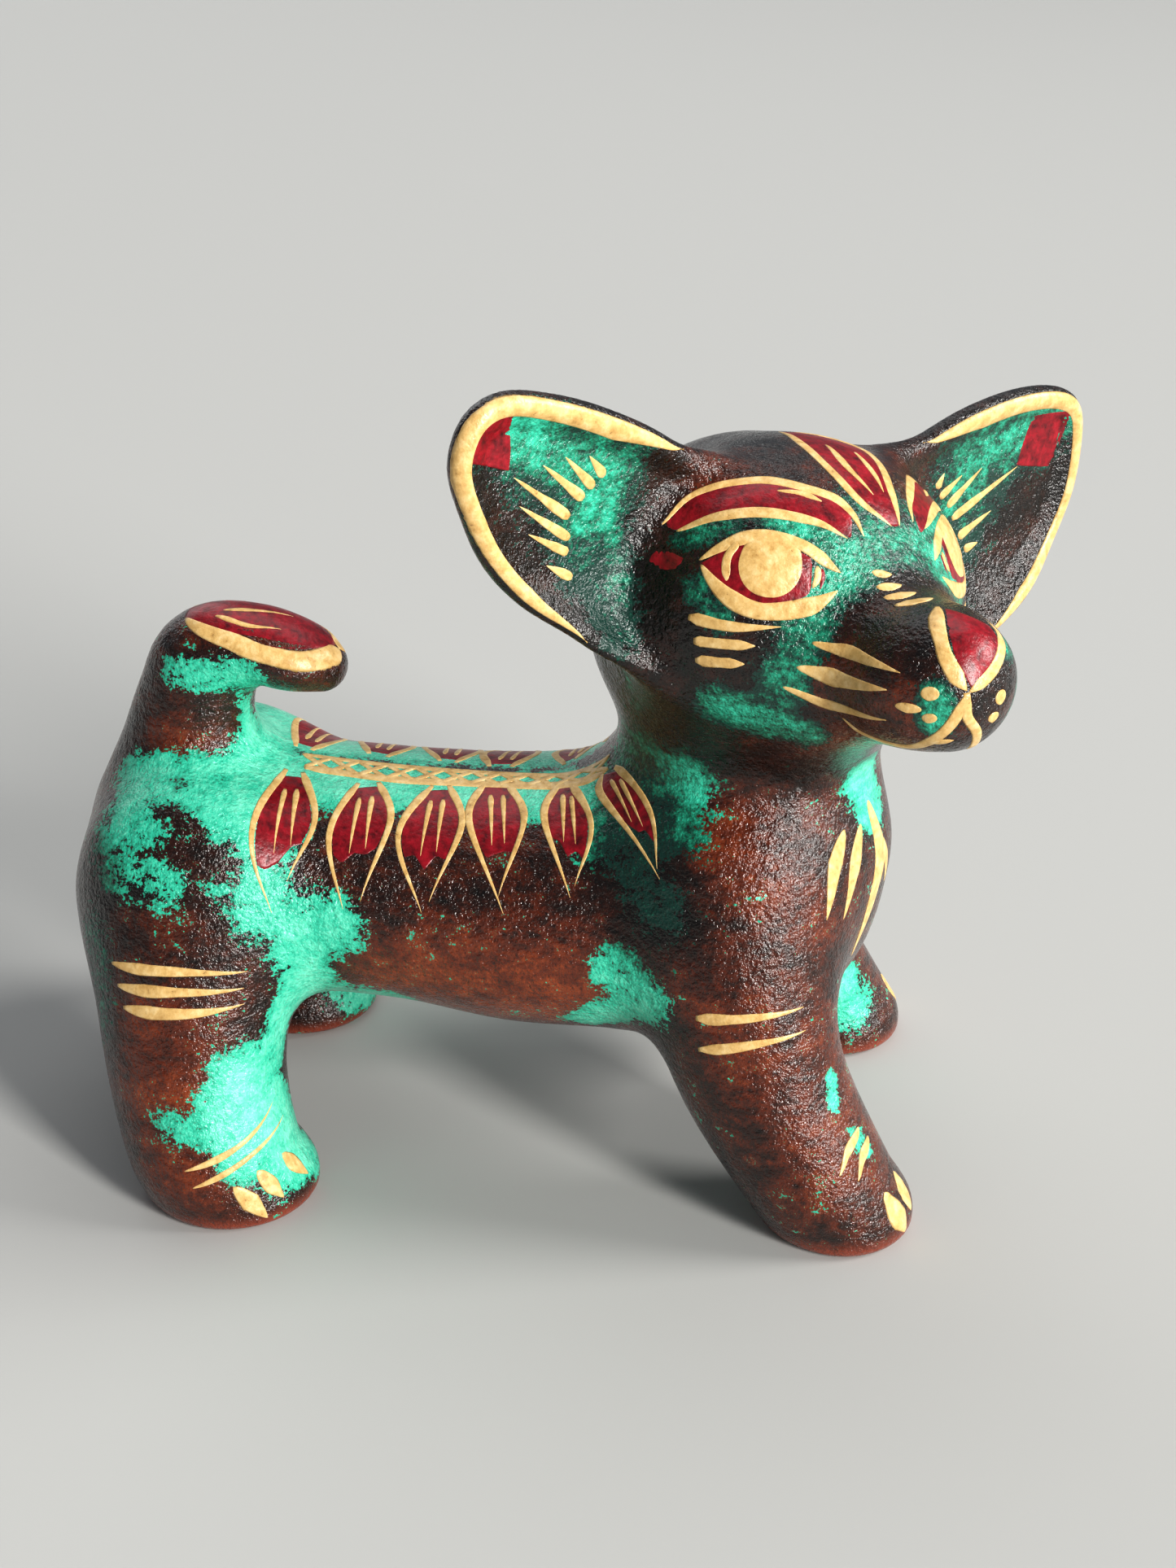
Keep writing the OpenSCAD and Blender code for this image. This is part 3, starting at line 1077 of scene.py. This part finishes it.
def grid_faces(upper, lower):
    """The faces of a thin body between two sheets that share their long edges."""
    faces = []
    for sheet, flip in ((upper, False), (lower, True)):
        corners = [sheet[:-1, :-1], sheet[:-1, 1:], sheet[1:, 1:], sheet[1:, :-1]]
        faces += np.stack(corners[::-1] if flip else corners, 2).reshape(-1, 4).tolist()
    for row, flip in ((0, False), (-1, True)):
        loop = upper[row].tolist() + lower[row, -2:0:-1].tolist()
        half = len(loop) // 2
        caps = [[loop[k - 1], loop[k], loop[-k], loop[-k + 1]] for k in range(2, half)]
        caps = [[loop[0], loop[1], loop[-1]]] + caps + [loop[half - 1:half + 2]]
        faces += [cap if flip else cap[::-1] for cap in caps]
    return faces


def clean_mesh(thing):
    """Merges doubled points, drops what that flattens, and turns every face outward."""
    mesh = bmesh.new()
    mesh.from_mesh(thing.data)
    bmesh.ops.remove_doubles(mesh, verts=mesh.verts, dist=1e-6)
    bmesh.ops.recalc_face_normals(mesh, faces=mesh.faces)
    mesh.to_mesh(thing.data)
    mesh.free()
    thing.data.update()


# ---------------- the painted motifs

# The far side's leaves lie higher up the back and its eye nearer the nose, in degrees
FAR_LEAVES_BY = (0, -8)
FAR_EYE_BY = (-3, 1.5)
# Each ear's rim band: the edge's points left out at its start and at its end, and how many
# millimetres nearer the edge it lies round the tip
RIM_START = 5
RIM_SHORT = {-1: 21, 1: 17}
RIM_PULL = {-1: 0.8, 1: 0.3}
# Leaves along the flank, as (x, degrees round from the top of the back): rear edge, front edge
LEAVES = [
    ([(-28.5, 14), (-31, 50), (-27.5, 77)], [(-26, 14), (-22.5, 41), (-25.5, 66)]),
    ([(-17, 18), (-20, 47), (-17, 76)], [(-14, 16), (-11, 39), (-14.5, 73)]),
    ([(-5.5, 16), (-9.5, 46), (-5, 76)], [(-3, 15), (0, 40), (-4, 72)]),
    ([(2.5, 12), (1, 37), (7.5, 75)], [(6, 12), (9.5, 36), (6.5, 69)]),
    ([(14.5, 11), (12.5, 34), (17.5, 68)], [(16, 15), (20, 40), (18, 64)]),
    ([(21, 15), (21.5, 28), (31, 60)], [(23, 17), (29, 38), (30.5, 57)]),
]


def paint_leaves(side, name):
    """Six red leaves, each with two cream edges and two dashes between them."""
    flank = Chart(flank_ray, side, FAR_LEAVES_BY if side > 0 else (0, 0))
    for k, (rear, front) in enumerate(LEAVES, 1):
        cream = f"leaf_{k}_{name}_cream"
        back_line, front_line = spline(rear, 8), spline(front, 8)
        fill(f"leaf_{k}_{name}_red", RED, flank, back_line[1:-5], front_line[1:-4], ragged=4)
        strokes(cream, flank, (rear, 1.35, 0.12, 0.95), (front, 1.35, 0.1, 0.95))
        for share in (0.36, 0.68):
            top, low = [back_line[at] * (1 - share) + front_line[at] * share for at in (3, 11)]
            strokes(cream, flank, ([top, low], 0.95, 0.12, 0.95), lift=0.26)


def paint_back():
    """Two lines along the back with criss-cross between them."""
    flank = Chart(flank_ray)
    band = "back_band_cream"
    high = spline([(-27, -1), (-13, 1), (3, 3), (22, 9)], 8)
    low = spline([(-26, 10), (-12, 13), (3, 13), (22, 16)], 8)
    strokes(band, flank, (high, 1.2, 0.05, 0.08), (low, 1.7, 0.05, 0.08))
    high, low = resample(high, 12), resample(low, 12)
    for h0, h1, l0, l1 in zip(high, high[1:], low, low[1:]):
        strokes(band, flank, ([h0, l1], 0.9, 0.1, 0.1), lift=0.2)
        strokes(band, flank, ([l0, h1], 0.9, 0.1, 0.1), lift=0.24)


def paint_eye(side, name):
    """A red almond between two cream lids, with a round iris and two slender dashes."""
    head = Chart(head_ray, side, FAR_EYE_BY if side > 0 else (0, 0))
    upper = [(61, 21.5), (56, 26), (49.5, 30), (41.5, 31.5), (31, 30), (20, 23.5)]
    lower = [(60, 20.5), (55.5, 17), (50.5, 14), (44.5, 12), (38.5, 12), (28.5, 14.5), (21, 19)]
    red, cream = f"eye_{name}_red", f"eye_{name}_cream"
    fill(red, RED, head, [(60, 21), (52, 28), (44, 30.5), (36, 30.5), (28.5, 27.5)],
         [(60, 21), (52, 15.5), (44, 13), (36, 13), (28.5, 17)])
    stroke(red, RED, head, [(25.6, 24.5), (25.4, 21.5), (26.2, 18.5)], 0.6, lift=0.12)
    strokes(cream, head, (upper, 1.7, 0.3, 0.15), (lower, 2.2, 0.3, 0.2))
    strokes(cream, head, ([(51, 29), (53, 23.5), (51.5, 17.5)], 1.2, 0.2, 0.2),
            ([(27, 25), (26.8, 22), (28.2, 19)], 0.9, 0.2, 0.3), lift=0.2)
    spot(cream, CREAM, head, (40.5, 24), (10.2, 8.6), lift=0.26)


def paint_brow(side, name):
    """A red arch between two cream lines; the two brows were drawn unlike each other."""
    head = Chart(head_ray, side)
    if side < 0:
        upper = [(77, 27.5), (71, 41), (49, 50), (22.5, 47), (13.5, 41.5), (10.5, 33.5)]
        lower = [(72, 27.5), (61, 34.5), (45.5, 38.5), (27.5, 37.5), (16.5, 33)]
        inner = [(42.5, 46.5), (32, 46.5), (23.5, 44)]
    else:
        upper = [(77, 27), (66, 39), (50, 47), (34, 47), (20, 42.5), (14, 36.5)]
        lower = [(72, 26), (60, 32.5), (45, 37), (32, 37), (19, 34)]
        inner = [(56, 40), (48, 41.5), (40, 41.5)]
    cream = f"brow_{name}_cream"
    fill(f"brow_{name}_red", RED, head, upper[:-1] + [(15, 34)], lower[:-1] + [(16, 33)])
    strokes(cream, head, (upper, 1.5, 0.5, 0.2), (lower, 1.6, 0.3, 0.3))
    strokes(cream, head, (inner, 1.0, 0.6, 0.3), lift=0.24)


def paint_cheek(side, name):
    """Three whiskers under the eye, three on the muzzle, and the red dab at the temple."""
    head, muzzle = Chart(head_ray, side), Chart(muzzle_ray, side)
    cream = f"cheek_{name}_cream"
    strokes(cream, head, ([(60, 6.5), (48, 6.5), (35, 8.5)], 1.6, 0.1, 0.7),
            ([(57.5, 0.5), (41, 2.5)], 1.5, 0.1, 0.3), ([(56.5, -5), (43, -3)], 1.5, 0.15, 0.3))
    strokes(cream, muzzle, ([(68.5, 21.5), (49.5, 21.5), (38.5, 18.5), (28, 15.5)], 1.65, 0.3, 0.6),
            ([(73, 8), (50.5, 7.5), (31.5, 9)], 2.3, 0.35, 0.6),
            ([(78, -3.5), (56.5, -9), (37, -5.5), (29, -3)], 1.6, 0.4, 0.6))
    fill(f"temple_{name}_red", RED, head, [(76, 21), (71, 22.6), (66.5, 21.4)],
         [(76.5, 17), (71.5, 15.6), (67, 17.4)], lift=0.06, ragged=1.2)


def paint_nose():
    """The nose, the mouth with its dots, and the four bars up the bridge."""
    muzzle = Chart(muzzle_ray)
    cream = "nose_cream"
    fill("nose_red", RED, muzzle, [(5, 39), (12, 31), (13.5, 22), (8.5, 12.5)],
         [(3, 39), (-8, 30), (-4, 21.5), (8, 12.5)])
    strokes(cream, muzzle, ([(6.5, 41), (13.5, 33.5), (15.5, 23), (13, 16), (9.5, 11.5)], 1.9, 0.2, 0.15),
            ([(-13, 31), (-8, 24.5), (0, 17.5), (5.5, 13.5), (9, 11)], 1.5, 0.3, 0.15))
    near_lip = [(45.5, -15), (33, -21.5), (17.5, -16.5), (13.5, -5), (11, 4), (9.5, 11)]
    far_lip = [(9.5, 11), (8, 4), (2, -2), (-6, -12), (-20, -19), (-38, -16)]
    strokes(cream, muzzle, (near_lip, 1.5, 0.3, 0.1), (far_lip, 1.4, 0.08, 0.4), lift=0.2)
    for at, size in (((19.5, 10), (2.6, 2.2)), ((24.5, 4.2), (4.0, 1.7)), ((18, 2), (2.1, 1.7)),
                     ((-3, 9), (2.5, 2.2)), ((-2, 3), (2.3, 1.7))):
        spot(cream, CREAM, muzzle, at, size, lift=0.22)
    strokes(cream, muzzle, ([(14, -8), (8, -5)], 1.1, 0.3, 0.4))
    bars = (((44, 64), (18, 66)), ((38, 57), (10, 60)), ((32, 51), (2, 54)), ((26, 45.5), (-4, 48)))
    for k, bar in enumerate(bars):
        strokes("bridge_cream", muzzle, (bar, 1.1 + 0.15 * k, 0.3, 0.4))


def paint_forehead():
    crown = Chart(crown_ray)
    cream = "forehead_leaf_cream"
    left = [(0.5, 18), (3.2, 12), (3.8, 6), (2.6, 0), (-1, -4.5)]
    right = [(-1.5, 17.5), (-7.5, 12.5), (-7.6, 8.5), (-4.8, 2.5), (-2.5, -4.5)]
    fill("forehead_leaf_red", RED, crown, left, right)
    strokes(cream, crown, (left, 1.3, 0.3, 0.2), (right, 1.4, 0.3, 0.2))
    strokes(cream, crown, ([(-0.5, 12), (0.6, 6), (-0.4, 0.5)], 1.3, 0.4, 0.5),
            ([(-4.2, 10), (-3.4, 5), (-2.6, 1)], 1.2, 0.4, 0.5), lift=0.24)


def paint_ear(side, name):
    """A rim band that follows the edge from the root over the tip, a red tip and fine dashes."""
    ear_face = Chart(ear_ray, side)
    curve = EAR_CURVE[side]
    tangent = np.roll(curve, -1, 0) - np.roll(curve, 1, 0)
    inward = np.stack([tangent[:, 1], -tangent[:, 0]], 1)
    inward /= norm(inward, axis=1)[:, None]
    rows = np.arange(RIM_START, len(curve) - RIM_SHORT[side])
    t = np.linspace(0, 1, len(rows))[:, None]
    full = np.minimum(1, np.minimum(t / 0.12, (1 - t) / 0.15)) ** 0.7
    inset = 0.9 - RIM_PULL[side] * ease(t, 0.15, 0.5) * (1 - ease(t, 0.55, 0.8))
    outer = curve[rows] + inward[rows] * inset
    inner = curve[rows] + inward[rows] * (inset - 0.2 + (3.5 - 1.4 * t) * full)
    fill(f"ear_rim_{name}_cream", CREAM, ear_face, outer, inner, lift=0.22, count=120)
    if side < 0:
        patch = ([(59, 29), (58.6, 23.6)], [(51.5, 30), (50.4, 25), (50.2, 21.6)])
        dashes = [((38, 23.5), (35, 20.5)), ((42, 23.5), (36.5, 19)), ((45.5, 22.5), (38, 17.5)),
                  ((50, 21), (40, 15)), ((48.5, 17), (39.5, 12)), ((46.5, 13), (39.5, 10)),
                  ((43, 8.5), (38.5, 6.5))]
    else:
        patch = ([(46.5, 27), (45.5, 23), (45, 19)], [(55, 28), (55, 23.5), (53.5, 18.5)])
        dashes = [((30, 18.5), (29, 16)), ((34, 18), (30, 14.5)), ((38, 19), (32, 13)),
                  ((46, 19), (33.5, 11)), ((42, 12), (35.5, 8)), ((40, 7), (37, 6))]
    fill(f"ear_tip_{name}_red", RED, ear_face, *patch)
    for tip, root in dashes:
        strokes(f"ear_dashes_{name}_cream", ear_face, ([root, tip], 1.3, 0.06, 0.75))


def paint_limbs(side, name):
    """Strokes and claws on the legs and paws, and feathering on the chest."""
    leg, chest = Chart(leg_ray, side), Chart(chest_ray, side)
    hind, front = Chart(hind_foot_ray, side), Chart(front_foot_ray, side)
    strokes(f"thigh_{name}_cream", leg,
            ([(-52, 41), (-41, 41.6), (-31, 40.5)], 2.0, 0.25, 0.8),
            ([(-51, 38), (-41, 38.6), (-31.5, 38)], 2.0, 0.25, 0.8),
            ([(-50, 35), (-41, 35.4), (-31.5, 35.5)], 2.1, 0.25, 0.8))
    strokes(f"hind_foot_{name}_cream", hind,
            ([(100, 20), (62, 34), (22, 49)], 1.0, 0.3, 0.7),
            ([(95, 9.5), (55, 26), (14, 38)], 1.0, 0.3, 0.7))
    for claw in (((70, 9), (52, -15)), ((53, 15), (40, -7)), ((30, 17), (16.5, -5))):
        strokes(f"hind_foot_{name}_cream", hind, (claw, 2.7, 0.5, 0.5), lift=0.2)
    strokes(f"front_leg_{name}_cream", leg,
            ([(37, 38), (45, 39), (53, 39.5)], 1.6, 0.1, 0.8),
            ([(37.5, 33), (45.5, 35), (53.5, 36)], 1.6, 0.15, 0.8))
    strokes(f"front_foot_{name}_cream", front,
            ([(38, 70), (68, 60), (82, 44)], 1.6, 0.35, 0.6),
            ([(23, 63), (50, 54), (63, 39)], 1.6, 0.35, 0.6))
    strokes(f"front_foot_{name}_cream", front,
            ([(36, 22), (31, 4), (24, -15)], 3.6, 0.45, 0.35),
            ([(7, 25), (9, 9), (11, -7)], 3.2, 0.45, 0.4), lift=0.2)
    strokes(f"chest_{name}_cream", chest,
            ([(15.5, 62), (20, 57), (23, 50.5)], 2.6, 0.35, 0.6),
            ([(12.5, 61.5), (16.5, 56), (20, 49)], 2.6, 0.35, 0.6),
            ([(9.5, 64), (9.5, 55), (12, 46), (14, 39)], 3.6, 0.4, 0.5),
            ([(8, 57), (6, 48)], 1.8, 0.4, 0.6))


def paint_tail():
    """A red leaf on the flat tip, with a cream border down each side."""
    top = Chart(tail_top_ray)
    cream = "tail_leaf_cream"
    near = [(-43.5, 2.2), (-38, 7.0), (-31, 7.9), (-25.5, 6.4), (-20.8, 2.4)]
    fill("tail_leaf_red", RED, top, near, [(x, -y) for x, y in near])
    border = [(168, 34), (113, 38), (69, 25), (39, 13), (15, 9), (0, 8)]
    for side in (-1, 1):
        strokes(cream, Chart(tail_ray, side), (border, 3.0, 0.4, 0.05))
    strokes(cream, top, ([(-37.5, 1.8), (-32, 0.5), (-27, -1.5)], 0.9, 0.2, 0.7),
            ([(-38.5, 3), (-33, 4.4), (-28, 3.4)], 0.9, 0.2, 0.7), lift=0.22)


def paint_everything():
    for side, name in ((-1, "right"), (1, "left")):
        for paint in (paint_leaves, paint_eye, paint_brow, paint_cheek, paint_ear, paint_limbs):
            paint(side, name)
    for paint in (paint_back, paint_nose, paint_forehead, paint_tail):
        paint()


# ---------------- the whole figure

make_camera()
make_stage()
MATERIALS = {
    "painted_clay": make_painted_clay(),
    "raw_clay": make_raw_clay(),
    CREAM: make_paint(CREAM, "#bf9658", "#dab474", "#ecce96", "#8a6a40"),
    RED: make_paint(RED, "#45050e", "#7d0b19", "#a01325", "#2e0608"),
}
SKIN = make_clay_pieces(MATERIALS["painted_clay"], MATERIALS["raw_clay"])
paint_everything()
build_coats(MATERIALS)
for coil in ("body_seam_coil", "head_seam_coil"):
    for material_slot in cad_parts[coil].material_slots:
        material_slot.material = MATERIALS["raw_clay"]
